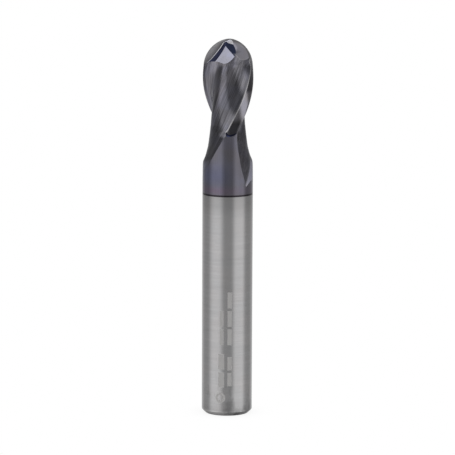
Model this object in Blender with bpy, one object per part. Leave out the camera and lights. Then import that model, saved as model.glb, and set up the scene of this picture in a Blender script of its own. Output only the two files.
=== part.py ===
# Two-flute ball-nose end mill: a solid carbide rod with a thin coating over its head.
# Frame: +Z up along the tool axis, origin at the centre of the shank's end face.
# -Y is the front.  Angles are in degrees round Z from the front (-Y) towards +X,
# which is also the way the tool turns; "ahead" is +angle and "behind" is -angle.
# The design is worked out in millimetres and written to the meshes in metres.

import math

import bmesh
import bpy
import numpy as np

MM = 0.001

# ------------------------------------------------------------------ sizes, mm
OVERALL_LENGTH = 75.0
DIAMETER = 10.0             # cutting diameter and shank diameter
SHANK_CHAMFER = 0.7         # 45 degrees, at the clamped end
COATING_START = 44.1        # height of the coating's lower edge
COATING_THICKNESS = 0.020   # drawn thick; a real PVD film is about 0.003
COATING_GAP = 0.010         # clearance that keeps the two solids apart
INSIDE_OVERRUN = 1.0        # how far the coating's inner cutter reaches below its edge
LAND_END = 56.1             # lowest height of the relief behind the cutting edge
LAND_FILLET = 0.45          # length of the scooped end of the relief

RADIUS = DIAMETER / 2
BALL_Z = OVERALL_LENGTH - RADIUS
ROD_SETBACK = COATING_THICKNESS + COATING_GAP   # rod's surface below the coated surface

# ----------------------------------------------------------------- resolution
COLUMNS = 48                # round the blank
LAND_COLUMNS = [-0.7, 2.2, 4.6, 9, 14, 19, 25]   # close-set columns, degrees behind an edge
LAND_STEP = 1.35            # mm between rings along the lands
FIRST_LAND_RING = 1.2       # mm from LAND_END to the first level ring
FILLET_STEPS = (0.0, 0.15, 0.35, 0.65, 1.0)      # rings, as shares of LAND_FILLET
BALL_RINGS = 10
LAST_BALL_RING = BALL_RINGS - 0.45
FLUTE_FRONT_POINTS = 14     # across the flute, cutting edge to ridge
FLUTE_BACK_POINTS = 7       # ridge to heel
RIM_STEPS = 6               # round the flute cutter's outer side
EVEN_DIAGONALS = 2e-6       # m; quads whose diagonals differ by less stay whole
SHARP_ANGLE = 32            # degrees


# -------------------------------------------------------------------- helpers
def clamp(value, low, high):
    return min(max(value, low), high)


def smoothstep(t):
    t = clamp(t, 0.0, 1.0)
    return t * t * (3 - 2 * t)


def smooth_table(points):
    """Monotone cubic through (x, y) pairs in rising x, flat outside their range."""
    xs, ys = np.array(points, float).T
    gaps = np.diff(xs)
    slopes = np.diff(ys) / gaps
    tangents = np.zeros(len(xs))
    for i in range(1, len(xs) - 1):
        before, after = slopes[i - 1], slopes[i]
        if before * after > 0:
            weight_before = 2 * gaps[i] + gaps[i - 1]
            weight_after = gaps[i] + 2 * gaps[i - 1]
            total = weight_before + weight_after
            tangents[i] = total / (weight_before / before + weight_after / after)
    tangents[0], tangents[-1] = slopes[0], slopes[-1]

    def value(x):
        x = clamp(float(x), xs[0], xs[-1])
        i = min(int(np.searchsorted(xs, x, side="right")) - 1, len(gaps) - 1)
        t = (x - xs[i]) / gaps[i]
        return float(
            (1 + 2 * t) * (1 - t) ** 2 * ys[i]
            + t * (1 - t) ** 2 * gaps[i] * tangents[i]
            + t * t * (3 - 2 * t) * ys[i + 1]
            + t * t * (t - 1) * gaps[i] * tangents[i + 1]
        )

    return value


def polar(angle, radius):
    a = math.radians(angle)
    return np.array([radius * math.sin(a), -radius * math.cos(a)])


def spline(points, count):
    """Centripetal Catmull-Rom through 2-D points, at count evenly spread parameters."""
    p = np.array(points, float)
    p = np.vstack([2 * p[0] - p[1], p, 2 * p[-1] - p[-2]])
    chords = np.linalg.norm(np.diff(p, axis=0), axis=1)
    knots = np.concatenate([[0], np.cumsum(chords ** 0.5)])
    out = []
    for u in np.linspace(knots[1], knots[-2], count):
        i = clamp(int(np.searchsorted(knots, u, side="right")) - 1, 1, len(p) - 3)
        t0, t1, t2, t3 = knots[i - 1 : i + 3]
        p0, p1, p2, p3 = p[i - 1 : i + 3]
        a1 = (t1 - u) / (t1 - t0) * p0 + (u - t0) / (t1 - t0) * p1
        a2 = (t2 - u) / (t2 - t1) * p1 + (u - t1) / (t2 - t1) * p2
        a3 = (t3 - u) / (t3 - t2) * p2 + (u - t2) / (t3 - t2) * p3
        b1 = (t2 - u) / (t2 - t0) * a1 + (u - t0) / (t2 - t0) * a2
        b2 = (t3 - u) / (t3 - t1) * a2 + (u - t1) / (t3 - t1) * a3
        out.append((t2 - u) / (t2 - t1) * b1 + (u - t1) / (t2 - t1) * b2)
    return np.array(out)


def moved_left(curve, distance):
    """An open 2-D curve moved to its left-hand side by distance."""
    d = np.gradient(curve, axis=0)
    d /= np.linalg.norm(d, axis=1)[:, None]
    return curve + distance * np.column_stack([-d[:, 1], d[:, 0]])


def heights_to_ball(start):
    """Even heights above start, up to the ball's centre."""
    count = round((BALL_Z - start) / LAND_STEP)
    return [start + (BALL_Z - start) * (i + 1) / count for i in range(count)]


def closed_mesh(name, rings, apex=None):
    """Bridges rings of equal point count, bottom to top; flat caps, or an apex on top."""
    bm = bmesh.new()
    loops = [[bm.verts.new([c * MM for c in p]) for p in ring] for ring in rings]
    n = len(loops[0])
    for low, high in zip(loops, loops[1:]):
        for i in range(n):
            j = (i + 1) % n
            # A twisted quad is split along its shorter diagonal, so nested shells stay parallel.
            rising = (high[j].co - low[i].co).length - (high[i].co - low[j].co).length
            if abs(rising) < EVEN_DIAGONALS:
                bm.faces.new((low[i], low[j], high[j], high[i]))
            elif rising < 0:
                bm.faces.new((low[i], low[j], high[j]))
                bm.faces.new((low[i], high[j], high[i]))
            else:
                bm.faces.new((low[i], low[j], high[i]))
                bm.faces.new((low[j], high[j], high[i]))
    bm.faces.new(loops[0])
    top = loops[-1]
    if apex is None:
        bm.faces.new(top)
    else:
        point = bm.verts.new([c * MM for c in apex])
        for i in range(n):
            bm.faces.new((top[i], top[(i + 1) % n], point))
    bmesh.ops.recalc_face_normals(bm, faces=bm.faces)
    mesh = bpy.data.meshes.new(name)
    bm.to_mesh(mesh)
    bm.free()
    return mesh


# ------------------------------------------------- the first tooth's cutting edge
HELIX_PER_MM = 6.617        # degrees of turn per mm: about a 30 degree helix on 10 mm
HELIX_TOP_Z = 69            # the even helix ends here, just below the ball
HELIX_TOP_ANGLE = -79.12

# (height, angle)
edge_on_ball = smooth_table([
    (68, -85.73), (69, HELIX_TOP_ANGLE), (70, -73.4), (71, -69.6), (72, -66.6), (73, -62.9),
    (73.6, -60.2), (74.4, -54.5), (74.8, -49.5), (75, -43.0), (76, -40.0),
])


def edge_angle(z):
    """Angle of tooth one's cutting edge at height z; tooth two is opposite."""
    if z <= HELIX_TOP_Z:
        return HELIX_TOP_ANGLE + HELIX_PER_MM * (z - HELIX_TOP_Z)
    return edge_on_ball(z)


# --------------------------------------------------------- the relieved blank
FIRST_RELIEF_WIDTH = 4.5    # degrees behind the edge where the second relief takes over
PANEL_BEHIND = 68           # direction the flat panel faces, degrees behind the edge
STOP_BEHIND = 13            # degrees behind the edge where the relief reaches lowest
STOP_RISE = 0.5             # mm the relief's end rises, at most, away from there

# Against height: how far each relief circle's centre is off the axis, the depth
# the relief levels off at, and the panel's distance from the axis as a share of the radius.
first_relief = smooth_table([(50, 0.50), (69, 0.50), (71, 0.62), (76, 0.75)])
second_relief = smooth_table([(50, 1.15), (69, 1.15), (71.2, 1.60), (76, 1.60)])
depth_limit = smooth_table([(50, 3.0), (69, 3.0), (71.2, 0.65), (76, 0.65)])
panel_share = smooth_table([
    (69, 1.0), (70.6, 0.84), (71.3, 0.79), (72.3, 0.775), (73, 0.80), (74, 0.90),
    (74.6, 1.0), (76, 1.0),
])


def circle_reach(behind, off_axis, radius_squared):
    """Distance from the axis to an off-centre circle, at an angle behind the edge."""
    a = math.radians(behind)
    return -off_axis * math.sin(a) + math.sqrt(radius_squared - (off_axis * math.cos(a)) ** 2)


def relief_radius(behind, full_radius, z):
    """A narrow first relief, then a steeper second one."""
    first, second = first_relief(z), second_relief(z)
    first_squared = full_radius * full_radius + first**2
    joint = circle_reach(FIRST_RELIEF_WIDTH, first, first_squared)
    a = math.radians(FIRST_RELIEF_WIDTH)
    second_squared = (joint + second * math.sin(a)) ** 2 + (second * math.cos(a)) ** 2
    return min(
        circle_reach(behind, first, first_squared),
        circle_reach(behind, second, second_squared),
    )


def land_stop(behind):
    """Height where the relief runs out into the full cylinder, lowest at STOP_BEHIND."""
    away = (behind % 180 - STOP_BEHIND) / STOP_BEHIND
    return LAND_END + STOP_RISE * min(away**2, 1)


def blank_radius(behind, z, radius):
    """Radius of the blank at an angle behind tooth one's edge; both halves are alike."""
    full = math.sqrt(radius * radius - max(z - BALL_Z, 0) ** 2)
    if z <= LAND_END:
        return full
    half_turn = behind % 180
    depth = full - relief_radius(half_turn, full, z)
    relieved = full - depth / math.sqrt(1 + (depth / depth_limit(z)) ** 2)
    # On the ball a flat panel lies behind the relief.
    facing = math.cos(math.radians(half_turn - PANEL_BEHIND))
    if facing > 0:
        relieved = min(relieved, panel_share(z) * full / facing)
    t = clamp((z - land_stop(behind)) / LAND_FILLET, 0, 1)
    return full - (full - relieved) * (1 - (1 - t) ** 2)


def column_angles():
    """Degrees behind tooth one's edge, closer together over the lands."""
    rest_count = COLUMNS // 2 - len(LAND_COLUMNS)
    rest = np.linspace(LAND_COLUMNS[-1], 180, rest_count + 2)[1:-1]
    half = LAND_COLUMNS + list(rest)
    return half + [b + 180 for b in half]


def straight_angle(behind):
    """Angle of a column on the plain cylinder below the lands."""
    return edge_angle(land_stop(behind)) - behind


def head_mesh(name, radius, low, rings_below=()):
    """The blank from height low to the tip of its ball, on top of any rings below."""
    first = LAND_END + FIRST_LAND_RING
    above = [first] + heights_to_ball(first)
    for i in [*range(1, BALL_RINGS), LAST_BALL_RING]:
        above.append(BALL_Z + radius * math.sin(math.pi / 2 * i / BALL_RINGS))
    # (height, whether it counts from the curved end of the land)
    levels = [(low, False)]
    levels += [(LAND_FILLET * t, True) for t in FILLET_STEPS]
    levels += [(z, False) for z in above]

    rings = list(rings_below)
    for height, from_stop in levels:
        ring = []
        for behind in column_angles():
            stop = land_stop(behind)
            z = stop + height if from_stop else height
            angle = edge_angle(max(z, stop)) - behind
            ring.append((*polar(angle, blank_radius(behind, z, radius)), z))
        rings.append(ring)
    return closed_mesh(name, rings, apex=(0.0, 0.0, BALL_Z + radius))


# -------------------------------------------------------------- flute cutters
# Against height: angle ahead of the edge where the flute's wall starts, radius of
# the ridge along its floor, and angle ahead of the edge where its heel is.
wall_start = smooth_table([
    (45.9, 97.4), (47.5, 82), (49, 66), (50.9, 48), (52, 38.5), (53.5, 25),
    (55.2, 11.5), (56.2, 5.0), (57, 1.2), (58, 0),
])
ridge_radius = smooth_table([
    (44.2, 5.25), (45.0, 5.09), (45.9, 5.0), (47.5, 4.90), (49, 4.80), (50.2, 4.70),
    (51.1, 4.54), (52, 4.35), (52.7, 4.18), (53.5, 4.00), (55.2, 3.79), (56.4, 3.68),
    (58, 3.58),
])
heel_angle = smooth_table([
    (45.9, 99), (46.6, 122), (47.5, 141), (49, 151), (50.9, 155), (52, 156),
    (53.5, 156.5), (55.2, 157), (57.5, 155.5),
])
RIDGE_ANGLE = 97.6          # degrees ahead of the edge

# Front, edge to ridge: (share of the angle, share of the depth at the ridge).
FRONT_MAIN = np.array([
    (-0.006, 0.30), (0.006, 0.62), (0.051, 0.91), (0.143, 1.17), (0.287, 1.38),
    (0.43, 1.37), (0.594, 1.20), (0.738, 1.09), (0.881, 1.034),
])
FRONT_RUNOUT = np.array([
    (0.05, 0.20), (0.12, 0.42), (0.21, 0.62), (0.31, 0.78), (0.40, 0.90),
    (0.50, 0.98), (0.62, 1.05), (0.74, 1.06), (0.87, 1.04),
])
# Back, ridge to heel: (share of the angle, share of the rise).
BACK_MAIN = np.array([
    (0.214, 0.075), (0.473, 0.234), (0.732, 0.495), (0.922, 0.813), (0.983, 0.944),
])
BACK_RUNOUT = np.array([(0.12, 0.33), (0.28, 0.74), (0.52, 0.80), (0.78, 0.80), (0.94, 0.86)])
# Outside the edge: (degrees ahead of the wall, degrees behind it in the run-out, radius).
LEAD_IN = [(7, 1.5, 6.5), (1.6, 0.4, 5.38)]
WALL_RUNOUT_RISE = 0.03     # mm added to the wall's starting radius in the run-out
# Outside the heel: (degrees past the heel, mm above it).
LEAD_OUT = [(2.5, 0.07), (7, 0.36), (14, 1.4)]
HEEL_MAIN = 4.62            # heel radius along the flute
HEEL_RUNOUT = 5.02          # heel radius in the run-out
BALL_LIFT_MAX = 1.6         # mm the floor rises, at most, on the ball
BALL_SHIFT = 11             # degrees the wall's start moves ahead on the ball
CUTTER_RIM = 8.2            # radius of the cutter's outer side

FLUTE_LEVEL = 57.5          # height where the run-out begins, going down
FLUTE_HEIGHTS = (
    [44.3, 45.0, 45.9, 46.5, 47.4, 48.5, 49.6, 50.5, 51.5, 52.5, 53.6, 54.8, 56.1, FLUTE_LEVEL]
    + heights_to_ball(FLUTE_LEVEL)
    + [70.7, 71.4, 72.2, 73.1, 74.4, 76.2]
)


def flute_section(z, offset):
    """Cutter's outline at height z: from outside the edge to outside the heel, then the rim."""
    runout = smoothstep((FLUTE_LEVEL - z) / 5.0)
    back_runout = smoothstep((52.3 - z) / 2.1)
    heel_runout = smoothstep((57.4 - z) / 1.6)
    lift = min(0.2 * smoothstep((z - 69.6) / 1.6) + max(z - 72.0, 0) ** 2 / 2, BALL_LIFT_MAX)
    shift = BALL_SHIFT * smoothstep((z - 69.9) / 2.6)
    wall, ridge, heel = wall_start(z), ridge_radius(z), heel_angle(z)
    heel_radius = HEEL_MAIN + (HEEL_RUNOUT - HEEL_MAIN) * heel_runout
    front_shape = FRONT_MAIN * (1 - runout) + FRONT_RUNOUT * runout
    back_shape = BACK_MAIN * (1 - back_runout) + BACK_RUNOUT * back_runout
    steps = len(front_shape)

    # Both sides are (degrees ahead of the edge, radius).
    front = [(wall + a * (1 - runout) - b * runout, radius) for a, b, radius in LEAD_IN]
    front.append((wall, RADIUS + WALL_RUNOUT_RISE * runout))
    for i, (along, depth) in enumerate(front_shape):
        radius = RADIUS - (RADIUS - ridge) * depth + lift * ((i + 1) / steps) ** 2
        front.append((wall + (RIDGE_ANGLE - wall) * along, radius))
    front = [(a + shift * max(0, 1 - i / steps), radius) for i, (a, radius) in enumerate(front)]
    corner = (RIDGE_ANGLE, ridge + lift)
    front.append(corner)

    back = [corner]
    for along, rise in back_shape:
        radius = ridge + (heel_radius - ridge) * rise + lift
        back.append((RIDGE_ANGLE + (heel - RIDGE_ANGLE) * along, radius))
    back += [(heel + past, heel_radius + above + lift) for past, above in LEAD_OUT]

    edge = edge_angle(z)
    front_curve = spline([polar(edge + a, radius) for a, radius in front], FLUTE_FRONT_POINTS)
    back_curve = spline([polar(edge + a, radius) for a, radius in back], FLUTE_BACK_POINTS)
    curve = np.vstack([front_curve, back_curve[1:]])
    if offset:
        # The curve runs towards +angle, so the tool's core is on its left.
        curve = moved_left(curve, offset)
    start, end = (math.degrees(math.atan2(p[0], -p[1])) for p in (curve[0], curve[-1]))
    span = (end - start) % 360
    rim = [polar(end - span * i / RIM_STEPS, CUTTER_RIM) for i in range(RIM_STEPS + 1)]
    return [(*p, z) for p in [*curve, *rim]]


# --------------------------------------------------------------- gash cutters
# Each gash is a notch ahead of a tooth's ball edge.  Its sides are the edge's
# rake face, a flat floor, a steeper back wall and, over the centre, a plane
# that falls away from the tip.
RAKE_AHEAD = 0.6            # rake plane's distance ahead of the axis
# (height, angle the rake face points outwards at)
rake_direction = smooth_table([
    (68.9, -66), (69.4, -76), (70, -80.3), (71, -76.6), (72, -74.1), (73, -72),
    (74, -71), (76.4, -71),
])
# Planes: (normal, a point on the plane).
FLOOR = (np.array([-0.451, -0.746, 0.490]), np.array([-0.57, -0.79, 74.35]))
BACK = (np.array([-0.544, -0.742, 0.392]), np.array([-0.53, -1.05, 74.08]))
TIP = (np.array([-0.210, -0.466, 0.859]), np.array([0.0, 0.0, OVERALL_LENGTH]))
# The rounded corner's width on each side: (at ROUNDING_Z, growth per mm below it).
ROUNDING_Z = 74
RAKE_SETBACK = (0.25, -0.03)
FLOOR_SETBACK = (0.50, 0.20)
FADE_END_Z = 74.75          # the rounding fades out towards this height,
FADE_LENGTH = 0.6           # over this length,
FADE_LEAST = 0.06           # down to this share
LEAST_STEP = 0.1            # mm kept between neighbouring outline points
LEAST_FLAT = 0.05           # mm of wall that must be left beyond the rounding
FAR = 13.0                  # reach of the cutter beyond the tool
CORNER_STEPS = (0, 0.25, 0.5, 0.75, 1)
GASH_HEIGHTS = [*np.linspace(68.9, 73.3, 9), 73.7, 74.0, 74.2, 74.4, 74.8, 75.4, 76.4]


def wall_line(plane, z, offset):
    """Foot point and direction (towards +x) of a plane's line at height z."""
    normal, at = plane
    length = np.linalg.norm(normal[:2])
    facing = normal[:2] / length
    away = (np.dot(normal[:2], at[:2]) - normal[2] * (z - at[2])) / length - offset / length
    return facing * away, np.array([-facing[1], facing[0]])


def meet(p, p_direction, q, q_direction):
    """Where two 2-D lines, each a point and a direction, cross."""
    t = np.linalg.solve(np.array([p_direction, -q_direction]).T, q - p)[0]
    return p + p_direction * t


def gash_section(z, offset):
    """Cutter's outline at height z, with the walls set back by offset."""
    rake = polar(rake_direction(z), 1.0)
    ahead = np.array([-rake[1], rake[0]])
    foot = ahead * (RAKE_AHEAD - offset)
    floor, back, tip = (wall_line(plane, z, offset) for plane in (FLOOR, BACK, TIP))
    on_floor, on_back, on_tip = (meet(foot, rake, *line) for line in (floor, back, tip))

    # The outline follows one wall from first to second, then another onward to turn.
    # Coming inwards along the rake face, whichever wall is met first bounds the notch.
    if np.dot(on_floor - on_back, rake) > 0:
        first, along = on_floor, floor[1]
        second = meet(*floor, *back)
    else:
        first, along, second = on_back, back[1], on_back
    turn, onward = meet(*back, *tip), back[1]
    # Where the plane over the centre crosses the rake face further in, it takes over.
    if np.dot(on_tip - first, rake) < 0:
        first = second = turn = on_tip
        along = onward = tip[1]
    step = max(float(np.dot(second - first, along)), 0.0)
    second = first + along * step

    # Round the corner between the rake face and the first wall.
    down = max(ROUNDING_Z - z, 0)
    fade = clamp((FADE_END_Z - z) / FADE_LENGTH, FADE_LEAST, 1)
    rake_setback, floor_setback = (
        (width + growth * down) * fade for width, growth in (RAKE_SETBACK, FLOOR_SETBACK)
    )
    start = first + rake * rake_setback
    if step > floor_setback + LEAST_FLAT:
        end = first + along * floor_setback
    else:
        end = second + onward * (floor_setback - step)
        second = end + onward * LEAST_STEP
    corner = [
        start * (1 - s) ** 2 + first * 2 * s * (1 - s) + end * s * s for s in CORNER_STEPS
    ]
    reach = clamp(float(np.dot(turn - second, onward)), LEAST_STEP, FAR)
    turn = second + onward * reach
    ring = [first + rake * FAR, *corner, second, turn]
    ring += [turn + tip[1] * FAR, first + (along + rake) * FAR]
    return [(*p, z) for p in ring]


# ------------------------------------------------------------ scene and pieces
def material(name, colour, metallic, roughness):
    m = bpy.data.materials.new(name)
    m.use_nodes = True
    shader = m.node_tree.nodes["Principled BSDF"]
    shader.inputs["Base Color"].default_value = (*colour, 1)
    shader.inputs["Metallic"].default_value = metallic
    shader.inputs["Roughness"].default_value = roughness
    return m


def put(name, data, parent=None, turn=0.0, helper=False):
    obj = bpy.data.objects.new(name, data)
    bpy.context.scene.collection.objects.link(obj)
    obj.parent = parent
    obj.rotation_euler = (0, 0, turn)
    if helper:
        obj.hide_render = True
        obj.display_type = "WIRE"
    return obj


def cut(obj, cutter):
    m = obj.modifiers.new("cut_" + cutter.name, "BOOLEAN")
    m.operation = "DIFFERENCE"
    m.solver = "EXACT"
    m.object = cutter


def grind(obj, label, offset, parent):
    """Cuts both flutes and both gashes into obj, with the walls set back by offset."""
    meshes = {
        kind: closed_mesh(f"{label}_{kind}", [section(z, offset) for z in heights])
        for kind, section, heights in (
            ("flute", flute_section, FLUTE_HEIGHTS),
            ("gash", gash_section, GASH_HEIGHTS),
        )
    }
    for i, turn in enumerate((0.0, math.pi)):
        for kind, mesh in meshes.items():
            cut(obj, put(f"{label}_{kind}_{i + 1}", mesh, parent, turn, helper=True))


def finish(obj, surface):
    obj.data.materials.append(surface)
    obj.data.shade_smooth()
    obj.data.set_sharp_from_angle(angle=math.radians(SHARP_ANGLE))


def carbide_body(parent):
    """The carbide rod: one piece from the clamped end to the ball."""
    profile = ((0.0, RADIUS - SHANK_CHAMFER), (SHANK_CHAMFER, RADIUS), (COATING_START, RADIUS))
    shank = [
        [(*polar(straight_angle(b), radius), z) for b in column_angles()]
        for z, radius in profile
    ]
    mesh = head_mesh("carbide_body", RADIUS - ROD_SETBACK, COATING_START, rings_below=shank)
    rod = put("carbide_body", mesh, parent)
    grind(rod, "rod", ROD_SETBACK, parent)
    carbide = material("ground_carbide", colour=(0.42, 0.42, 0.43), metallic=1.0, roughness=0.34)
    finish(rod, carbide)


def hard_coating(parent):
    """The coating: a thin skin over everything above its lower edge."""
    mesh = head_mesh("hard_coating", RADIUS, COATING_START + COATING_GAP)
    skin = put("hard_coating", mesh, parent)
    grind(skin, "skin", 0.0, parent)
    inner = head_mesh("skin_inside", RADIUS - COATING_THICKNESS, COATING_START - INSIDE_OVERRUN)
    inside = put("skin_inside", inner, parent, helper=True)
    grind(inside, "inside", COATING_THICKNESS, parent)
    cut(skin, inside)
    film = material(
        "dark_violet_grey_coating", colour=(0.115, 0.11, 0.135), metallic=1.0, roughness=0.3
    )
    finish(skin, film)


for old in list(bpy.data.objects):
    bpy.data.objects.remove(old, do_unlink=True)

axis = put("tool_axis", None)
carbide_body(axis)
hard_coating(axis)
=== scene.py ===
import math

import bpy
import numpy as np
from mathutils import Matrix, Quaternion, Vector
from mathutils.kdtree import KDTree


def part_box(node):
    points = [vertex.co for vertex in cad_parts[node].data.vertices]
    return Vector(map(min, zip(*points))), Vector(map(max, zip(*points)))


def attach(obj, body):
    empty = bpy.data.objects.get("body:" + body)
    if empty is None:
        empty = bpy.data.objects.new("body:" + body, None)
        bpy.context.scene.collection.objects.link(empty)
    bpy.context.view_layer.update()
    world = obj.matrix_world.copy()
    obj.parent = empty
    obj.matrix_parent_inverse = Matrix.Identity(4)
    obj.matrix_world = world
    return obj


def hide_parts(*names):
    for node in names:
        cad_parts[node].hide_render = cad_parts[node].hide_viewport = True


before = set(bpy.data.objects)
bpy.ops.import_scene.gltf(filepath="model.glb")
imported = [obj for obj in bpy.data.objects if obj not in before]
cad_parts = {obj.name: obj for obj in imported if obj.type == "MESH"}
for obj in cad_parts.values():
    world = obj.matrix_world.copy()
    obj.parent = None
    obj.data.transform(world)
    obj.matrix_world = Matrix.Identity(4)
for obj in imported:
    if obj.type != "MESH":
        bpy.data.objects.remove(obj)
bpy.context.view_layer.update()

# Fine visual model of the ball nose end mill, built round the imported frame.
# Worked in millimetres, written to the meshes in metres.  Angles are measured
# round Z from the front (-Y) towards +X.

low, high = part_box("carbide_body")
coat_low, coat_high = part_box("hard_coating")

MM = 0.001
LENGTH = round(coat_high[2] / MM, 3)
COATING_START = round(coat_low[2] / MM, 2) - 0.01
R = 5.0
SHANK_CHAMFER = 0.7
BALL_Z = LENGTH - R
HELIX_PER_MM = 6.617
LAND_END = 56.1
LAND_FILLET = 0.45
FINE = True

# -------------------------------------------------------------- small helpers


def smooth_table(points):
    """Monotone cubic through (x, y) pairs, flat outside their range."""
    xs, ys = (np.array(v, float) for v in zip(*sorted(points)))
    h = np.diff(xs)
    s = np.diff(ys) / h
    m = np.zeros(len(xs))
    for i in range(1, len(xs) - 1):
        if s[i - 1] * s[i] > 0:
            a, b = 2 * h[i] + h[i - 1], h[i] + 2 * h[i - 1]
            m[i] = (a + b) / (a / s[i - 1] + b / s[i])
    m[0], m[-1] = s[0], s[-1]

    def value(x):
        x = min(max(float(x), xs[0]), xs[-1])
        i = min(int(np.searchsorted(xs, x, side="right")) - 1, len(h) - 1)
        t = (x - xs[i]) / h[i]
        return float(
            (1 + 2 * t) * (1 - t) ** 2 * ys[i]
            + t * (1 - t) ** 2 * h[i] * m[i]
            + t * t * (3 - 2 * t) * ys[i + 1]
            + t * t * (t - 1) * h[i] * m[i + 1]
        )

    return value


def smoothstep(t):
    t = min(max(t, 0.0), 1.0)
    return t * t * (3 - 2 * t)


def polar(angle_deg, radius):
    a = math.radians(angle_deg)
    return np.array([radius * math.sin(a), -radius * math.cos(a)])


def spline(points, count):
    """Centripetal Catmull-Rom through 2-D points, at count evenly spread parameters."""
    p = np.array(points, float)
    p = np.vstack([2 * p[0] - p[1], p, 2 * p[-1] - p[-2]])
    knots = np.concatenate([[0], np.cumsum(np.linalg.norm(np.diff(p, axis=0), axis=1) ** 0.5)])
    out = []
    for u in np.linspace(knots[1], knots[-2], count):
        i = min(max(int(np.searchsorted(knots, u, side="right")) - 1, 1), len(p) - 3)
        t0, t1, t2, t3 = knots[i - 1 : i + 3]
        p0, p1, p2, p3 = p[i - 1 : i + 3]
        a1 = (t1 - u) / (t1 - t0) * p0 + (u - t0) / (t1 - t0) * p1
        a2 = (t2 - u) / (t2 - t1) * p1 + (u - t1) / (t2 - t1) * p2
        a3 = (t3 - u) / (t3 - t2) * p2 + (u - t2) / (t3 - t2) * p3
        b1 = (t2 - u) / (t2 - t0) * a1 + (u - t0) / (t2 - t0) * a2
        b2 = (t3 - u) / (t3 - t1) * a2 + (u - t1) / (t3 - t1) * a3
        out.append((t2 - u) / (t2 - t1) * b1 + (u - t1) / (t2 - t1) * b2)
    return np.array(out)


def pushed(curve, distance):
    d = np.gradient(curve, axis=0)
    d /= np.linalg.norm(d, axis=1)[:, None]
    return curve + distance * np.column_stack([d[:, 1], -d[:, 0]])


# ------------------------------------------------------------------ geometry
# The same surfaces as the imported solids, sampled finely.
_edge_on_ball = smooth_table(
    [(68, -85.73), (69, -79.12), (70, -73.4), (71, -69.6), (72, -66.6), (73, -62.9),
     (73.6, -60.2), (74.4, -54.5), (74.8, -49.5), (75, -43.0), (76, -40.0)]
)


def edge_angle(z):
    if z <= 69:
        return -79.12 + HELIX_PER_MM * (z - 69)
    return _edge_on_ball(z)


def ball_radius(z, radius):
    return math.sqrt(max(radius * radius - max(z - BALL_Z, 0) ** 2, 0))


def relief_radius(behind, rho, primary, secondary, land=4.5):
    s, c = math.sin(math.radians(behind)), math.cos(math.radians(behind))
    first = -primary * s + math.sqrt(max(rho * rho + primary**2 - (primary * c) ** 2, 0))
    sl, cl = math.sin(math.radians(land)), math.cos(math.radians(land))
    at = -primary * sl + math.sqrt(max(rho * rho + primary**2 - (primary * cl) ** 2, 0))
    disc = (at + secondary * sl) ** 2 + (secondary * cl) ** 2
    second = -secondary * s + math.sqrt(max(disc - (secondary * c) ** 2, 0))
    return min(first, second) if behind > 0 else first


_primary = smooth_table([(50, 0.50), (69, 0.50), (71, 0.62), (76, 0.75)])
_secondary = smooth_table([(50, 1.15), (69, 1.15), (71.2, 1.60), (76, 1.60)])
_level = smooth_table([(50, 3.0), (69, 3.0), (71.2, 0.65), (76, 0.65)])
_panel = smooth_table([(69, 1.0), (70.6, 0.84), (71.3, 0.79), (72.3, 0.775), (73, 0.80), (74, 0.90), (74.6, 1.0), (76, 1.0)])
PANEL_BEHIND = 68


def land_stop(psi):
    behind = -psi % 180
    return LAND_END + 0.5 * min(((behind - 13) / 13) ** 2, 1)


def blank_radius(psi, z, radius):
    rho = ball_radius(z, radius)
    if z <= LAND_END:
        return rho
    found = rho
    for turn in (0, 180):
        behind = (turn - psi) % 360
        if behind <= 180:
            d = rho - relief_radius(behind, rho, _primary(z), _secondary(z))
            r = rho - d / math.sqrt(1 + (d / _level(z)) ** 2)
            facing = math.cos(math.radians(behind - PANEL_BEHIND))
            if z > 69 and facing > 0.3:
                r = min(r, _panel(z) * rho / facing)
            t = min(max((z - land_stop(psi)) / LAND_FILLET, 0), 1)
            r = rho - (rho - r) * (1 - (1 - t) ** 2)
            found = min(found, r)
    return found


_wall = smooth_table([(45.9, 97.4), (47.5, 82), (49, 66), (50.9, 48), (52, 38.5), (53.5, 25), (55.2, 11.5), (56.2, 5.0), (57, 1.2), (58, 0)])
_ridge = smooth_table([(44.2, 5.25), (45.0, 5.09), (45.9, 5.0), (47.5, 4.90), (49, 4.80), (50.2, 4.70), (51.1, 4.54), (52, 4.35), (52.7, 4.18), (53.5, 4.00), (55.2, 3.79), (56.4, 3.68), (58, 3.58)])
_heel = smooth_table([(45.9, 99), (46.6, 122), (47.5, 141), (49, 151), (50.9, 155), (52, 156), (53.5, 156.5), (55.2, 157), (57.5, 155.5)])
RIDGE_ANGLE = 97.6
FRONT_MAIN = np.array([(-0.006, 0.30), (0.006, 0.62), (0.051, 0.91), (0.143, 1.17), (0.287, 1.38), (0.43, 1.37), (0.594, 1.20), (0.738, 1.09), (0.881, 1.034)])
FRONT_RUNOUT = np.array([(0.05, 0.20), (0.12, 0.42), (0.21, 0.62), (0.31, 0.78), (0.40, 0.90), (0.50, 0.98), (0.62, 1.05), (0.74, 1.06), (0.87, 1.04)])
BACK_MAIN = np.array([(0.214, 0.075), (0.473, 0.234), (0.732, 0.495), (0.922, 0.813), (0.983, 0.944)])
BACK_RUNOUT = np.array([(0.12, 0.33), (0.28, 0.74), (0.52, 0.80), (0.78, 0.80), (0.94, 0.86)])


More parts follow.
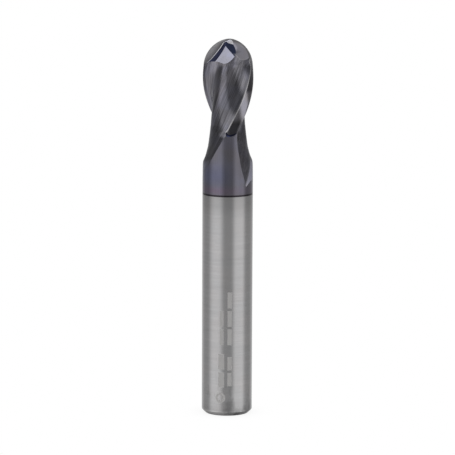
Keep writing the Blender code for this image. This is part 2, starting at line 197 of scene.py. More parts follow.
def flute_section(z, offset, n_front, n_back):
    w = smoothstep((57.5 - z) / 5.0)
    wb = smoothstep((52.3 - z) / 2.1)
    wall, ridge, heel = _wall(z), _ridge(z), _heel(z)
    lift = min(0.2 * smoothstep((z - 69.6) / 1.6) + max(z - 72.0, 0) ** 2 / 2, 1.6)
    shift = 11 * smoothstep((z - 69.9) / 2.6)
    heel_radius = 4.62 + (5.02 - 4.62) * smoothstep((57.4 - z) / 1.6)
    front = FRONT_MAIN * (1 - w) + FRONT_RUNOUT * w
    back = BACK_MAIN * (1 - wb) + BACK_RUNOUT * wb
    one = [
        (wall + 7 * (1 - w) - 1.5 * w, 6.5),
        (wall + 1.6 * (1 - w) - 0.4 * w, 5.38),
        (wall, 5.0 + 0.03 * w),
    ]
    for i, (along, depth) in enumerate(front):
        one.append((wall + (RIDGE_ANGLE - wall) * along, R - (R - ridge) * depth + lift * ((i + 1) / 9) ** 2))
    one = [(a + shift * max(0, 1 - i / 9), r) for i, (a, r) in enumerate(one)]
    corner = (RIDGE_ANGLE, ridge + lift)
    two = [corner]
    for along, rise in back:
        two.append((RIDGE_ANGLE + (heel - RIDGE_ANGLE) * along, ridge + (heel_radius - ridge) * rise + lift))
    two += [(heel + 2.5, heel_radius + 0.07 + lift), (heel + 7, heel_radius + 0.36 + lift), (heel + 14, heel_radius + 1.4 + lift)]
    one.append(corner)
    turn = edge_angle(z)
    a = spline([polar(turn + p, r) for p, r in one], n_front)
    b = spline([polar(turn + p, r) for p, r in two], n_back)
    curve = np.vstack([a, b[1:]])
    if offset:
        curve = pushed(curve, -offset)
    start = math.degrees(math.atan2(curve[0][0], -curve[0][1]))
    end = math.degrees(math.atan2(curve[-1][0], -curve[-1][1]))
    span = (end - start) % 360
    outer = [polar(end - span * i / 6, 8.2) for i in range(7)]
    return [(*p, z) for p in curve] + [(*p, z) for p in outer]


RAKE_AHEAD = 0.6
_rake_direction = smooth_table([(68.9, -66), (69.4, -76), (70, -80.3), (71, -76.6), (72, -74.1), (73, -72), (74, -71), (76.4, -71)])
FLOOR = (np.array([-0.451, -0.746, 0.490]), np.array([-0.57, -0.79, 74.35]))
BACK = (np.array([-0.544, -0.742, 0.392]), np.array([-0.53, -1.05, 74.08]))
TIP = (np.array([-0.210, -0.466, 0.859]), np.array([0.0, 0.0, 75.0]))
# Width of the painted highlight strip along the rake face's inner border, which has its own pale slot.
GLINT = 0.20                                 # pale line along the rake face's inner border
RAKE_SETBACK = (0.25, -0.03)
FLOOR_SETBACK = (0.50, 0.20)


def wall_line(plane, z, offset):
    normal, at = plane
    length = np.linalg.norm(normal[:2])
    q = normal[:2] / length
    away = (np.dot(normal[:2], at[:2]) - normal[2] * (z - at[2])) / length - offset / length
    return q * away, np.array([-q[1], q[0]])


def meet(p, d, q, e):
    t = np.linalg.solve(np.array([d, -e]).T, q - p)[0]
    return p + d * t


def gash_section(z, offset, n_corner):
    """Returns the ring at z and which wall the rake face has reached there."""
    rake = polar(_rake_direction(z), 1.0)
    ahead = np.array([-rake[1], rake[0]])
    foot = ahead * (RAKE_AHEAD - offset)
    floor, back, tip = (wall_line(w, z, offset) for w in (FLOOR, BACK, TIP))
    on_floor, on_back, on_tip = (meet(foot, rake, *line) for line in (floor, back, tip))
    reached = GASH_FLOOR
    if np.dot(on_floor - on_back, rake) > 0:
        first, along = on_floor, floor[1]
        second = meet(*floor, *back)
    else:
        first, along, second = on_back, back[1], on_back
        reached = GASH_WALL
    turn, onward = meet(*back, *tip), back[1]
    if np.dot(on_tip - first, rake) < 0:
        first, along, onward = on_tip, tip[1], tip[1]
        second = turn = on_tip
        reached = GASH_TIP
    step = max(float(np.dot(second - first, along)), 0.0)
    second = first + along * step
    down = max(74 - z, 0)
    fade = min(max((74.75 - z) / 0.6, 0.06), 1)
    setback = (FLOOR_SETBACK[0] + FLOOR_SETBACK[1] * down) * fade
    p0 = first + rake * (RAKE_SETBACK[0] + RAKE_SETBACK[1] * down) * fade
    if step > setback + 0.05:
        p2 = first + along * setback
    else:
        p2 = second + onward * (setback - step)
        second = p2 + onward * 0.1
        reached = max(reached, GASH_WALL)
    curve = [p0 * (1 - s) ** 2 + first * 2 * s * (1 - s) + p2 * s * s for s in np.linspace(0, 1, n_corner)]
    far = 13.0
    turn = second + onward * min(max(float(np.dot(turn - second, onward)), 0.1), far)
    ring = [first + rake * far, p0 + rake * GLINT] + curve + [second, turn, turn + tip[1] * far, first + (along + rake) * far]
    return [(*p, z) for p in ring], reached


# ------------------------------------------------------- mesh building blocks
OD, LAND, LAND_SCOOP, FLUTE_FRONT, FLUTE_BACK, RAKE, CORNER, GASH_FLOOR, GASH_WALL, GASH_TIP, CORNER_HIGHLIGHT = range(11)


def closed_mesh(name, rings, top=None, slot_of=None):
    """Bridges rings of equal point count, bottom to top, splitting twisted quads along the shorter diagonal."""
    grid = np.array(rings, float) * MM
    rows, cols = grid.shape[:2]
    verts = grid.reshape(-1, 3)
    faces, slots = [], []
    for k in range(rows - 1):
        a, b = grid[k], grid[k + 1]
        rising = np.linalg.norm(np.roll(b, -1, axis=0) - a, axis=1) - np.linalg.norm(b - np.roll(a, -1, axis=0), axis=1)
        for i in range(cols):
            j = (i + 1) % cols
            p, q, r, s = k * cols + i, k * cols + j, (k + 1) * cols + j, (k + 1) * cols + i
            slot = slot_of(k, i) if slot_of else 0
            if rising[i] < 0:
                faces += [(p, q, r), (p, r, s)]
            else:
                faces += [(p, q, s), (q, r, s)]
            slots += [slot, slot]
    faces.append(tuple(range(cols)))
    slots.append(0)
    last = (rows - 1) * cols
    if top is None:
        faces.append(tuple(range(last, last + cols)))
        slots.append(0)
    else:
        verts = np.vstack([verts, [np.array(top) * MM]])
        for i in range(cols):
            faces.append((last + i, last + (i + 1) % cols, len(verts) - 1))
            slots.append(slot_of(rows - 1, i) if slot_of else 0)
    mesh = bpy.data.meshes.new(name)
    mesh.from_pydata([tuple(v) for v in verts], [], faces)
    mesh.polygons.foreach_set("material_index", slots)
    mesh.update()
    import bmesh
    bm = bmesh.new()
    bm.from_mesh(mesh)
    bmesh.ops.recalc_face_normals(bm, faces=bm.faces)
    bm.to_mesh(mesh)
    bm.free()
    return mesh


def column_angles(count):
    """Even spacing with extra columns over the lands, none exactly on a cutting edge."""
    dense = list(np.arange(-0.35, 28, 360 / count * 0.6))
    rest = list(np.linspace(dense[-1], 180 - 0.35, int((180 - dense[-1]) * count / 360) + 2)[1:-1])
    half = dense + rest
    return [-b for b in half] + [-b - 180 for b in half]


def head_blank(name, radius, bottom, count, step):
    psis = column_angles(count)
    zs = list(np.linspace(bottom, LAND_END - 0.05, max(3, int((LAND_END - bottom) / (step * 3)))))
    zs += [("stop", LAND_FILLET * t) for t in np.linspace(0, 1, 8)]
    z = LAND_END + 1.15
    zs += list(np.arange(z, BALL_Z - step / 2, step))
    n_ball = max(12, int(R * math.pi / 2 / step))
    zs += [BALL_Z + radius * math.sin(math.pi / 2 * i / n_ball) for i in range(0, n_ball)]
    zs.append(BALL_Z + radius * math.sin(math.pi / 2 * (n_ball - 0.5) / n_ball))
    rings, tags = [], []
    for z in zs:
        ring, tag = [], []
        for p in psis:
            if isinstance(z, tuple):
                at = land_stop(p) + z[1]
            elif z < LAND_END:
                at = z
            else:
                at = z
            turn = edge_angle(max(at, land_stop(p)))
            ring.append((*polar(turn + p, blank_radius(p, at, radius)), at))
            behind = -p % 180
            if at < land_stop(p) - 1e-6:
                tag.append(OD)
            elif at < land_stop(p) + LAND_FILLET * 0.85 and behind < 60:
                tag.append(LAND_SCOOP)
            else:
                tag.append(LAND)
        rings.append(ring)
        tags.append(tag)
    return closed_mesh(name, rings, top=(0, 0, BALL_Z + radius), slot_of=lambda k, i: tags[min(k, len(tags) - 1)][i])


def flute_cutter(name, offset, n_front, n_back, step):
    zs = [44.3, 44.8, 45.3] + list(np.arange(45.6, 69.9, step)) + list(np.arange(70.0, 76.3, step * 0.8)) + [76.4]
    rings = [flute_section(z, offset, n_front, n_back) for z in zs]

    def slot_of(k, i):
        if i < n_front - 1:
            return FLUTE_FRONT
        return FLUTE_BACK

    return closed_mesh(name, rings, slot_of=slot_of)


def gash_cutter(name, offset, n_corner, step):
    zs = list(np.arange(68.9, 73.9, step)) + list(np.arange(73.9, 74.5, step * 0.4)) + list(np.arange(74.5, 76.3, step)) + [76.4]
    made = [gash_section(z, offset, n_corner) for z in zs]

    def slot_of(k, i):
        if i == 0:
            return RAKE
        if i == 1:
            return CORNER_HIGHLIGHT
        if made[k][1] == GASH_TIP:
            return GASH_TIP
        if i < n_corner + 1:
            return CORNER
        if i == n_corner + 1:
            return made[k][1]
        if i == n_corner + 2:
            return max(made[k][1], GASH_WALL)
        return GASH_TIP

    return closed_mesh(name, [ring for ring, _ in made], slot_of=slot_of)


def helper(name, mesh, turn=0.0):
    obj = bpy.data.objects.new(name, mesh)
    bpy.context.scene.collection.objects.link(obj)
    obj.rotation_euler = (0, 0, turn)
    return obj


def cut(obj, cutters):
    for c in cutters:
        m = obj.modifiers.new("cut_" + c.name, "BOOLEAN")
        m.operation = "DIFFERENCE"
        m.solver = "EXACT"
        m.material_mode = "INDEX"
        m.object = c
    bpy.context.view_layer.update()
    graph = bpy.context.evaluated_depsgraph_get()
    mesh = bpy.data.meshes.new_from_object(obj.evaluated_get(graph))
    obj.modifiers.clear()
    obj.data = mesh
    return mesh


def ground_head(name, radius, bottom, offset, count, step, n_front, n_back, n_corner, materials):
    blank = helper(name, head_blank(name, radius, bottom, count, step))
    flute = flute_cutter(name + "_flute", offset, n_front, n_back, step)
    gash = gash_cutter(name + "_gash", offset, n_corner, min(step, 0.25))
    tools = []
    for i, turn in enumerate((0.0, math.pi)):
        tools += [helper(f"{name}_flute_{i}", flute, turn), helper(f"{name}_gash_{i}", gash, turn)]
    for m in materials:
        for mesh in (blank.data, flute, gash):
            mesh.materials.append(m)
    cut(blank, tools)
    for t in tools:
        bpy.data.objects.remove(t, do_unlink=True)
    return blank


# ------------------------------------------------------------ material toolkit
class Nodes:
    """Short hand for building a node tree."""

    def __init__(self, tree):
        self.tree = tree
        tree.nodes.clear()

    def new(self, kind, **props):
        n = self.tree.nodes.new(kind)
        for k, v in props.items():
            setattr(n, k, v)
        return n

    def plug(self, value, socket):
        if isinstance(value, bpy.types.NodeSocket):
            self.tree.links.new(value, socket)
        else:
            socket.default_value = value

    def math(self, op, a, b=0.0, c=0.0, clamp=False):
        n = self.new("ShaderNodeMath", operation=op, use_clamp=clamp)
        for v, s in zip((a, b, c), n.inputs):
            self.plug(v, s)
        return n.outputs[0]

    def ramp(self, value, lo, hi, out_lo=0.0, out_hi=1.0, smooth=True):
        n = self.new("ShaderNodeMapRange", interpolation_type="SMOOTHSTEP" if smooth else "LINEAR")
        for v, s in zip((value, lo, hi, out_lo, out_hi), n.inputs):
            self.plug(v, s)
        return n.outputs[0]

    def bump_window(self, value, centre, half, soft):
        """1 inside centre +- half, falling to 0 over soft."""
        d = self.math("ABSOLUTE", self.math("SUBTRACT", value, centre))
        return self.ramp(d, half - soft, half + soft, 1.0, 0.0)

    def mix(self, factor, a, b, kind="RGBA", blend="MIX"):
        n = self.new("ShaderNodeMix", data_type=kind)
        if kind == "RGBA":
            n.blend_type = blend
            ins = (n.inputs[0], n.inputs[6], n.inputs[7])
            out = n.outputs[2]
        else:
            ins = (n.inputs[0], n.inputs[2], n.inputs[3])
            out = n.outputs[0]
        for v, s in zip((factor, a, b), ins):
            self.plug(v, s)
        return out

    def scaled(self, vector, scale):
        n = self.new("ShaderNodeVectorMath", operation="MULTIPLY")
        self.plug(vector, n.inputs[0])
        n.inputs[1].default_value = scale
        return n.outputs[0]

    def noise(self, vector, scale, detail=2.0, rough=0.5):
        n = self.new("ShaderNodeTexNoise", noise_dimensions="3D")
        self.plug(vector, n.inputs["Vector"])
        n.inputs["Scale"].default_value = scale
        n.inputs["Detail"].default_value = detail
        n.inputs["Roughness"].default_value = rough
        return n.outputs["Fac"]


def millimetres(g):
    """Object coordinates in mm, height, angle round the axis, x, and distance from the axis."""
    at = g.scaled(g.new("ShaderNodeTexCoord").outputs["Object"], (1000, 1000, 1000))
    xyz = g.new("ShaderNodeSeparateXYZ")
    g.plug(at, xyz.inputs[0])
    angle = g.math("ARCTAN2", xyz.outputs[0], g.math("MULTIPLY", xyz.outputs[1], -1.0))
    across = g.math("SQRT", g.math("ADD", g.math("POWER", xyz.outputs[0], 2.0), g.math("POWER", xyz.outputs[1], 2.0)))
    return at, xyz.outputs[2], angle, xyz.outputs[0], across


def untwisted(g, at, z):
    """The point turned back by the helix, so that a line along the helix becomes straight."""
    n = g.new("ShaderNodeVectorRotate", rotation_type="Z_AXIS")
    g.plug(at, n.inputs["Vector"])
    g.plug(g.math("MULTIPLY", z, math.radians(-HELIX_PER_MM)), n.inputs["Angle"])
    return n.outputs[0]


def finish_shader(g, colour, roughness, bump_height, bump_strength, distance, metallic=1.0, anisotropic=0.0, tangent=None):
    shader = g.new("ShaderNodeBsdfPrincipled")
    g.plug(colour, shader.inputs["Base Color"])
    g.plug(roughness, shader.inputs["Roughness"])
    g.plug(metallic, shader.inputs["Metallic"])
    if anisotropic:
        shader.inputs["Anisotropic"].default_value = anisotropic
        t = g.new("ShaderNodeTangent", direction_type="RADIAL", axis="Z")
        g.plug(t.outputs[0], shader.inputs["Tangent"])
    b = g.new("ShaderNodeBump")
    b.inputs["Strength"].default_value = bump_strength
    b.inputs["Distance"].default_value = distance
    g.plug(bump_height, b.inputs["Height"])
    g.plug(b.outputs[0], shader.inputs["Normal"])
    out = g.new("ShaderNodeOutputMaterial")
    g.plug(shader.outputs[0], out.inputs["Surface"])
    return shader


def coating_material(name, base, rough, streaks, streak_gain, painted_light_bands=(), painted_rake_shade=None, tint=True):
    """Dark PVD film over a ground surface.  streaks says which way the grinding lines under it run."""
    m = bpy.data.materials.new(name)
    m.use_nodes = True
    g = Nodes(m.node_tree)
    at, z, angle, x, across = millimetres(g)
    if streaks == "helix":
        place = g.scaled(untwisted(g, at, z), (1, 1, 0.04))
        fine = g.noise(place, 2.3, 4.0, 0.68)
        broad = g.noise(place, 0.9, 2.0, 0.5)
        scratches = g.noise(place, 8.5, 2.0, 0.6)
    elif streaks == "column":
        place = g.scaled(at, (1, 1, 0.03))
        fine = g.noise(place, 2.6, 3.0, 0.6)
        broad = g.noise(place, 0.8, 2.0, 0.5)
    elif streaks == "along_land":
        place = g.scaled(untwisted(g, at, z), (1, 1, 0.12))
        fine = g.noise(place, 9.0, 3.0, 0.6)
        broad = g.noise(place, 0.9, 2.0, 0.5)
    else:
        place = g.scaled(at, streaks)
        fine = g.noise(place, 6.0, 3.0, 0.6)
        broad = g.noise(place, 0.8, 2.0, 0.5)
    cloud = g.noise(at, 0.35, 3.0, 0.5)
    # Brightness follows the grinding lines, and drifts slowly as the film's thickness does.
    lines = g.math("ADD", g.math("MULTIPLY", g.math("SUBTRACT", fine, 0.5), streak_gain),
                   g.math("MULTIPLY", g.math("SUBTRACT", broad, 0.5), streak_gain * 0.8))
    if streaks == "helix":
        lines = g.math("MULTIPLY", lines, g.ramp(z, 50.5, 57.0, 0.45, 1.0))
    gain = g.math("ADD", g.math("ADD", 1.0, lines), g.math("MULTIPLY", g.math("SUBTRACT", cloud, 0.5), 0.35))
    if streaks == "helix":
        gain = g.math("ADD", gain, g.math("MULTIPLY", g.math("SUBTRACT", scratches, 0.5), 1.9))
        # The far side of each flute's run-out gets a painted highlight: a paler, more even film colour standing in for
        # the light it reflects.
        turn = g.math("SUBTRACT", g.math("MULTIPLY", angle, 180 / math.pi), g.math("MULTIPLY", g.math("SUBTRACT", z, 69.0), HELIX_PER_MM))
        ahead = g.math("FLOORED_MODULO", g.math("ADD", turn, 79.12), 180.0)
        runout_highlight = g.math("MULTIPLY", g.ramp(ahead, 90.0, 99.0), g.ramp(ahead, 110.0, 127.0, 1.0, 0.0))
        runout_highlight = g.math("MULTIPLY", runout_highlight, g.ramp(z, 50.4, 51.8, 1.0, 0.0))
        runout_highlight = g.math("MULTIPLY", runout_highlight, g.ramp(z, 45.3, 46.4))
        gain = g.mix(runout_highlight, gain, 3.1, kind="FLOAT")
    # Painted light and shade: each band darkens or brightens the film over a range of heights.
    for z0, z1, low, high in painted_light_bands:
        gain = g.math("MULTIPLY", gain, g.ramp(z, z0, z1, low, high))
    if painted_rake_shade is not None:
        # Painted shade: darker towards the middle of the ball, standing in for the shading across the curved rake face;
        # distance from the axis as a share of the ball's radius there.
        drop = g.math("POWER", g.math("MAXIMUM", g.math("SUBTRACT", z, BALL_Z), 0.0), 2.0)
        reach = g.math("SQRT", g.math("MAXIMUM", g.math("SUBTRACT", R * R, drop), 0.04))
        gain = g.math("MULTIPLY", gain, g.ramp(g.math("DIVIDE", across, reach), painted_rake_shade[0], painted_rake_shade[1], painted_rake_shade[2], painted_rake_shade[3], smooth=False))
    rgb = g.new("ShaderNodeRGB")
    rgb.outputs[0].default_value = (*base, 1)
    colour = rgb.outputs[0]
    # Slight shift between plum and steel blue over the head.
    colour = g.mix(g.ramp(cloud, 0.4, 0.62), colour, (base[0] * 0.97, base[1] * 0.99, base[2] * 1.06, 1))
    if tint:
        # Interference colours where the film thins out towards its lower edge.
        blue = g.math("MULTIPLY", g.bump_window(z, 48.2, 1.9, 1.9), 0.55)
        blue = g.math("MULTIPLY", blue, g.ramp(x, -2.0, 2.5, 1.0, 0.15))
        colour = g.mix(blue, colour, (base[0] * 0.80, base[1] * 0.92, base[2] * 1.38, 1))
        pink = g.math("MULTIPLY", g.bump_window(z, 45.3, 0.6, 0.7), g.ramp(x, -2.0, 3.0, 0.6, 0.25))
        colour = g.mix(pink, colour, (base[0] * 1.12, base[1] * 0.86, base[2] * 1.10, 1))
    wet = g.new("ShaderNodeVectorMath", operation="SCALE")
    g.plug(colour, wet.inputs[0])
    g.plug(gain, wet.inputs["Scale"])
    colour = wet.outputs[0]
    # Dark rim where masking ended the film.
    rim = g.bump_window(z, COATING_START + 0.16, 0.2, 0.06)
    colour = g.mix(g.math("MULTIPLY", rim, 0.9), colour, (0.03, 0.026, 0.03, 1))
    # Painted highlight: honed edges catch the light as fine pale lines.
    edge = g.new("ShaderNodeAttribute", attribute_name="edge_highlight").outputs["Fac"]
    colour = g.mix(g.math("MULTIPLY", edge, 0.9, clamp=True), colour, (0.66, 0.65, 0.66, 1))
    roughness = g.math("ADD", rough, g.math("MULTIPLY", g.math("SUBTRACT", fine, 0.5), 0.16), clamp=True)
    roughness = g.mix(g.math("MULTIPLY", edge, 0.9, clamp=True), roughness, 0.5, kind="FLOAT")
    if streaks == "helix":
        roughness = g.mix(runout_highlight, roughness, 0.42, kind="FLOAT")
    finish_shader(g, colour, roughness, fine, 0.35, 0.00002)
    return m


def shank_material():
    m = bpy.data.materials.new("ground_carbide_shank")
    m.use_nodes = True
    g = Nodes(m.node_tree)
    at, z, angle, x, across = millimetres(g)
    arc = g.math("MULTIPLY", angle, R)
    lines = g.noise(g.scaled(at, (0.03, 0.03, 1)), 7.0, 4.0, 0.7)
    bands = g.noise(g.scaled(at, (0.02, 0.02, 1)), 0.55, 2.0, 0.5)
    cloud = g.noise(at, 0.25, 2.0, 0.5)
    gain = g.math("ADD", 1.0, g.math("MULTIPLY", g.math("SUBTRACT", lines, 0.5), 0.34))
    gain = g.math("ADD", gain, g.math("MULTIPLY", g.math("SUBTRACT", bands, 0.5), 0.22))
    gain = g.math("ADD", gain, g.math("MULTIPLY", g.math("SUBTRACT", cloud, 0.5), 0.08))
    # A little darker next to the coating.
    gain = g.math("MULTIPLY", gain, g.ramp(z, 38.5, 44.0, 1.0, 0.78))
    # Slightly darker over the lowest 3 mm. Painted shade: darker over the bottom chamfer, and darkest in a thin line at
    # the foot.
    gain = g.math("MULTIPLY", gain, g.ramp(z, 0.6, 3.2, 0.86, 1.0))
    gain = g.math("MULTIPLY", gain, g.ramp(z, 0.72, 0.82, 0.62, 1.0))
    gain = g.math("MULTIPLY", gain, g.ramp(z, 0.08, 0.20, 0.45, 1.0))
    # Mottled darker patches towards the clamped end.
    dark_mottle = g.ramp(g.noise(g.scaled(at, (1, 1, 0.5)), 0.62, 3.0, 0.55), 0.50, 0.66)
    gain = g.math("SUBTRACT", gain, g.math("MULTIPLY", dark_mottle, g.ramp(z, 2.0, 11.0, 0.20, 0.0)))
    base = g.mix(g.ramp(cloud, 0.35, 0.65), (0.490, 0.480, 0.482, 1), (0.472, 0.470, 0.475, 1))
    wet = g.new("ShaderNodeVectorMath", operation="SCALE")
    g.plug(base, wet.inputs[0])
    g.plug(gain, wet.inputs["Scale"])
    colour = wet.outputs[0]

    # Laser marks: rows of plain, equal long bars and a ring in place of any lettering.
    def row(centre, width, start, count, pitch, fill):
        stop = start + count * pitch
        inside = g.math("MULTIPLY", g.bump_window(arc, centre, width, 0.05),
                        g.math("MULTIPLY", g.math("GREATER_THAN", z, start), g.math("LESS_THAN", z, stop)))
        frac = g.math("FRACT", g.math("DIVIDE", g.math("SUBTRACT", z, start), pitch))
        off = g.math("ABSOLUTE", g.math("SUBTRACT", frac, 0.5))
        return g.math("MULTIPLY", inside, g.ramp(off, fill / 2 - 0.02, fill / 2 + 0.02, 1.0, 0.0))

    left, right = -1.16, 0.52
    marks = row(left, 0.58, 5.6, 2, 3.65, 0.84)
    for r in (row(left + 0.06, 0.38, 14.2, 2, 3.70, 0.86),
              row(right, 0.42, 5.9, 2, 3.20, 0.84),
              row(right, 0.42, 14.2, 3, 3.70, 0.86)):
        marks = g.math("MAXIMUM", marks, r)
    du, dv = g.math("SUBTRACT", arc, left - 0.15), g.math("SUBTRACT", z, 3.75)
    dist = g.math("SQRT", g.math("ADD", g.math("MULTIPLY", du, du), g.math("MULTIPLY", dv, dv)))
    ring = g.bump_window(dist, 0.78, 0.22, 0.06)
    marks = g.math("MAXIMUM", marks, ring)
    colour = g.mix(g.math("MULTIPLY", marks, 0.65), colour, (0.60, 0.59, 0.58, 1))
    roughness = g.math("ADD", 0.19, g.math("MULTIPLY", g.math("SUBTRACT", lines, 0.5), 0.10))
    roughness = g.mix(marks, roughness, 0.75, kind="FLOAT")
    metallic = g.math("SUBTRACT", 1.0, g.math("MULTIPLY", marks, 0.55))
    # Painted highlight along sharp edges, at the strength stored on the mesh for them.
    edge = g.new("ShaderNodeAttribute", attribute_name="edge_highlight").outputs["Fac"]
    colour = g.mix(g.math("MULTIPLY", edge, 0.35), colour, (0.7, 0.7, 0.7, 1))
    finish_shader(g, colour, roughness, lines, 0.25, 0.000010, metallic=metallic, anisotropic=0.45)
    return m


EDGE_WIDTH = 0.16


def finish_mesh(obj, sharp_deg, edge_highlight_gain):
    """Shades smooth with sharp ground edges, and stores how strongly each point's edge catches the light."""
    import bmesh
    mesh = obj.data
    bm = bmesh.new()
    bm.from_mesh(mesh)
    bmesh.ops.remove_doubles(bm, verts=bm.verts, dist=2e-6)
    bmesh.ops.dissolve_degenerate(bm, edges=bm.edges, dist=2e-6)
    layer = bm.verts.layers.float.new("edge_highlight")
    marks = []
    for e in bm.edges:
        if len(e.link_faces) == 2:
            pair = tuple(sorted(f.material_index for f in e.link_faces))
            gain = edge_highlight_gain(pair, e.verts[0].co.z / MM, math.degrees(e.calc_face_angle_signed(0)))
            if gain > 0:
                a, b = e.verts[0].co, e.verts[1].co
                steps = max(1, int((b - a).length / (0.06 * MM)))
                marks += [(a.lerp(b, i / steps), gain) for i in range(steps + 1)]
    if marks:
        tree = KDTree(len(marks))
        for i, (co, gain) in enumerate(marks):
            tree.insert(co, i)
        tree.balance()
        for v in bm.verts:
            co, i, distance = tree.find(v.co)
            v[layer] = marks[i][1] * max(1 - distance / (EDGE_WIDTH * MM), 0)
    bm.to_mesh(mesh)
    bm.free()
    mesh.shade_smooth()
    mesh.set_sharp_from_angle(angle=math.radians(sharp_deg))
    w = obj.modifiers.new("weighted_normals", "WEIGHTED_NORMAL")
    w.keep_sharp = True
    w.weight = 70


def tooth_edge_highlight(pair, z, angle):
    """Painted highlight strength along cutting edges and heels; every other edge keeps the film's own colour."""
    if pair == (LAND, FLUTE_BACK) and angle > 4:
        return 1.0 if z < 71 else 0.2
    if pair in ((LAND, FLUTE_FRONT), (LAND, RAKE)) and angle > 20:
        return 0.35 if z > 59 else 0.1
    return 0.0


def rod_edge_highlight(pair, z, angle):
    return 0.0


# ------------------------------------------------------------------ materials
VIOLET = (0.170, 0.163, 0.185)
mats = [None] * 11
mats[OD] = coating_material("coating_cylinder", VIOLET, 0.17, "column", 0.30)
# Relief lands: painted shade below z 58.5 and from z 65 to 69, and a painted highlight from z 70.6 up onto the ball.
mats[LAND] = coating_material("coating_relief", (0.303, 0.290, 0.310), 0.13, "along_land", 0.22, painted_light_bands=((58.5, 60.3, 0.26, 1.0), (64.2, 65.2, 1.0, 0.42), (69.0, 70.6, 1.0, 2.38)))
# Painted shade: the scoop where each land ends gets a near-black navy film colour for the shade it lies in.
mats[LAND_SCOOP] = coating_material("coating_relief_end_painted_shade", (0.024, 0.027, 0.055), 0.22, "along_land", 0.2)
mats[FLUTE_FRONT] = coating_material("coating_flute", (0.178, 0.171, 0.190), 0.17, "helix", 1.7)
mats[FLUTE_BACK] = coating_material("coating_flute_back", (0.170, 0.166, 0.183), 0.17, "helix", 1.8)
mats[RAKE] = coating_material("coating_gash_rake", (0.180, 0.174, 0.182), 0.2, (1.0, 1.0, 0.35), 0.45, painted_rake_shade=(0.42, 0.90, 0.22, 1.05))
# Painted shade: the gash's rounded corner is given a dark navy film colour for the shadow it lies in.
mats[CORNER] = coating_material("coating_gash_corner_painted_shade", (0.028, 0.031, 0.058), 0.2, (1.0, 1.0, 0.35), 0.3)
# Painted highlight: a near-white strip along the gash's inner border, standing in for the light caught by the ground
# corner there.
mats[CORNER_HIGHLIGHT] = coating_material("coating_gash_painted_highlight", (0.72, 0.71, 0.73), 0.3, (1.0, 1.0, 0.35), 0.2)
# Painted reflection: the gash floor is given a pale blue-grey film colour for the softbox it reflects.
mats[GASH_FLOOR] = coating_material("coating_gash_floor_painted_reflection", (0.435, 0.435, 0.51), 0.3, (1.0, 1.0, 0.25), 0.25)
# Painted shade: the gash's second wall is given a dark navy film colour for the shadow it lies in.
mats[GASH_WALL] = coating_material("coating_gash_wall_painted_shade", (0.022, 0.027, 0.050), 0.25, (1.0, 1.0, 0.35), 0.25)
# Painted reflection: the tip facet is given a near-white film colour for the light box it reflects.
mats[GASH_TIP] = coating_material("coating_tip_painted_reflection", (0.70, 0.685, 0.70), 0.32, (1.0, 1.0, 0.35), 0.25)
carbide = shank_material()

# --------------------------------------------------------------------- pieces
if FINE:
    coat = ground_head("coating_skin", R, COATING_START, 0.0, 300, 0.17, 90, 56, 12, mats)
else:
    coat = ground_head("coating_skin", R, COATING_START, 0.0, 120, 0.4, 40, 24, 7, mats)
finish_mesh(coat, 14, tooth_edge_highlight)
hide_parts("hard_coating")
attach(coat, "root")

# The carbide rod: finely turned shank with softened chamfer edges.
profile = [(0.0, 0.0), (R - SHANK_CHAMFER - 0.06, 0.0), (R - SHANK_CHAMFER, 0.015), (R - SHANK_CHAMFER + 0.05, 0.06)]
profile += [(R - 0.055, SHANK_CHAMFER - 0.05), (R - 0.015, SHANK_CHAMFER + 0.01), (R, SHANK_CHAMFER + 0.08)]
profile += [(R, z) for z in np.linspace(SHANK_CHAMFER + 0.4, COATING_START - 0.05, 90)]
profile += [(R, COATING_START), (R - 0.03, COATING_START + 0.01)]
sides = 192
verts = [(0.0, 0.0, 0.0)]
faces = []
for r, z in profile[1:]:
    verts += [(r * MM * math.sin(2 * math.pi * i / sides), -r * MM * math.cos(2 * math.pi * i / sides), z * MM) for i in range(sides)]
faces += [(0, 1 + (i + 1) % sides, 1 + i) for i in range(sides)]
for k in range(len(profile) - 2):
    for i in range(sides):
        j = (i + 1) % sides
        faces.append((1 + k * sides + i, 1 + k * sides + j, 1 + (k + 1) * sides + j, 1 + (k + 1) * sides + i))
faces.append(tuple(1 + (len(profile) - 2) * sides + i for i in range(sides)))
mesh = bpy.data.meshes.new("carbide_rod")
mesh.from_pydata(verts, [], faces)
mesh.materials.append(carbide)
rod = bpy.data.objects.new("carbide_rod", mesh)
bpy.context.scene.collection.objects.link(rod)
finish_mesh(rod, 25, rod_edge_highlight)
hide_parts("carbide_body")
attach(rod, "root")

# --------------------------------------------------------------- floor, studio
floor_mesh = bpy.data.meshes.new("studio_floor")
floor_mesh.from_pydata([(-3, -3, 0), (3, -3, 0), (3, 3, 0), (-3, 3, 0)], [], [(0, 1, 2, 3)])
floor = bpy.data.objects.new("studio_floor", floor_mesh)
floor.location = (0, 0, -0.00002)
bpy.context.scene.collection.objects.link(floor)
white = bpy.data.materials.new("pale_floor")
white.use_nodes = True
g = Nodes(white.node_tree)
# Painted contact shadow: the glowing floor turns slightly grey where ambient occlusion finds the rod close by.
ao = g.new("ShaderNodeAmbientOcclusion", samples=8)
ao.inputs["Distance"].default_value = 0.006
floor_colour_with_contact_shadow = g.mix(g.ramp(ao.outputs["AO"], 0.3, 0.95), (0.93, 0.93, 0.93, 1), (1.0, 1.0, 1.0, 1))
glow = g.new("ShaderNodeEmission")
g.plug(floor_colour_with_contact_shadow, glow.inputs["Color"])
glow.inputs["Strength"].default_value = 1.0
out = g.new("ShaderNodeOutputMaterial")
g.plug(glow.outputs[0], out.inputs["Surface"])
floor_mesh.materials.append(white)
floor.visible_glossy = False
floor.visible_diffuse = False
floor.visible_shadow = False

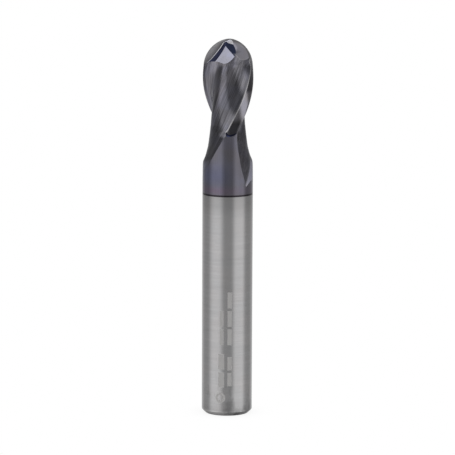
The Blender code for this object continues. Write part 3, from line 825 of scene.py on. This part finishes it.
world = bpy.data.worlds.new("studio")
bpy.context.scene.world = world
world.use_nodes = True
g = Nodes(world.node_tree)
direction = g.new("ShaderNodeTexCoord").outputs["Generated"]
xyz = g.new("ShaderNodeSeparateXYZ")
g.plug(direction, xyz.inputs[0])
az = g.math("MULTIPLY", g.math("ARCTAN2", xyz.outputs[0], g.math("MULTIPLY", xyz.outputs[1], -1.0)), 180 / math.pi)
el = g.math("MULTIPLY", g.math("ARCSINE", xyz.outputs[2]), 180 / math.pi)


def box(az_c, az_half, el_c, el_half, strength, soft_az=9.0, soft_el=8.0):
    d = g.math("ABSOLUTE", g.math("SUBTRACT", az, az_c))
    d = g.math("MINIMUM", d, g.math("SUBTRACT", 360.0, d))
    a = g.ramp(d, az_half - soft_az, az_half + soft_az, 1.0, 0.0)
    e = g.bump_window(el, el_c, el_half, soft_el)
    return g.math("MULTIPLY", g.math("MULTIPLY", a, e), strength)


light = g.ramp(el, -11.0, 5.0, 0.51, 0.27)
for spec in (
    # azimuth, half width, elevation, half height, strength, softness
    (-55, 29, -18, 13, 0.63, 14, 6),    # strip light, left, lower half
    (-44, 24, 16, 21, 0.88, 9, 6),      # upper half, narrower
    (56, 27, -12, 12, 0.66, 11, 6),     # strip light, right, lower half
    (60, 20, 6, 7, 0.95, 9, 5),         # its bright middle
    (54, 20, 28, 17, 0.80, 9, 6),       # its upper half
    (4, 16, 4, 8, 0.11, 8, 5),          # faint glow from the camera side
    (118, 42, 36, 22, 0.45, 10, 7),     # card, right and high
    (180, 42, -19, 10, 0.40, 12, 6),    # card behind
    (-78, 32, 46, 24, 0.80, 12, 8),     # card, left and high
    (-95, 50, -54, 36, 0.50, 12, 7),    # table top, left
    (82, 18, -54, 38, 0.42, 8, 8),      # table top, right
    (-15, 20, -48, 28, 0.32, 12, 8),    # table top, front
    (0, 181, 80, 24, 0.90, 1, 8),       # ceiling
):
    light = g.math("ADD", light, box(*spec))
backdrop = g.new("ShaderNodeBackground")
backdrop.inputs["Color"].default_value = (1, 1, 1, 1)
backdrop.inputs["Strength"].default_value = 1.0
studio = g.new("ShaderNodeBackground")
g.plug(light, studio.inputs["Strength"])
path = g.new("ShaderNodeLightPath")
swap = g.new("ShaderNodeMixShader")
g.plug(path.outputs["Is Camera Ray"], swap.inputs[0])
g.plug(studio.outputs[0], swap.inputs[1])
g.plug(backdrop.outputs[0], swap.inputs[2])
out = g.new("ShaderNodeOutputWorld")
g.plug(swap.outputs[0], out.inputs["Surface"])


def softbox(name, place, aim, width, height, watts):
    lamp = bpy.data.lights.new(name, "AREA")
    lamp.shape = "RECTANGLE"
    lamp.size, lamp.size_y, lamp.energy = width, height, watts
    obj = bpy.data.objects.new(name, lamp)
    bpy.context.scene.collection.objects.link(obj)
    obj.location = place
    obj.rotation_euler = (Vector(aim) - Vector(place)).to_track_quat("-Z", "Y").to_euler()
    return obj


softbox("softbox_top", (0.1, -0.15, 0.9), (0, 0, 0.05), 0.5, 0.4, 0.6)

camera_data = bpy.data.cameras.new("camera")
camera_data.sensor_width = 36
camera_data.lens = 274.0
camera_data.shift_y = 0.0001
camera = bpy.data.objects.new("camera", camera_data)
bpy.context.scene.collection.objects.link(camera)
camera.location = (0.0, -0.680, 0.145)
aim = (Vector((0, 0, 0.0373)) - camera.location).to_track_quat("-Z", "Y")
camera.rotation_euler = (aim @ Quaternion((0, 0, 1), math.radians(0.24))).to_euler()
bpy.context.scene.camera = camera
bpy.context.scene.view_settings.view_transform = "Standard"
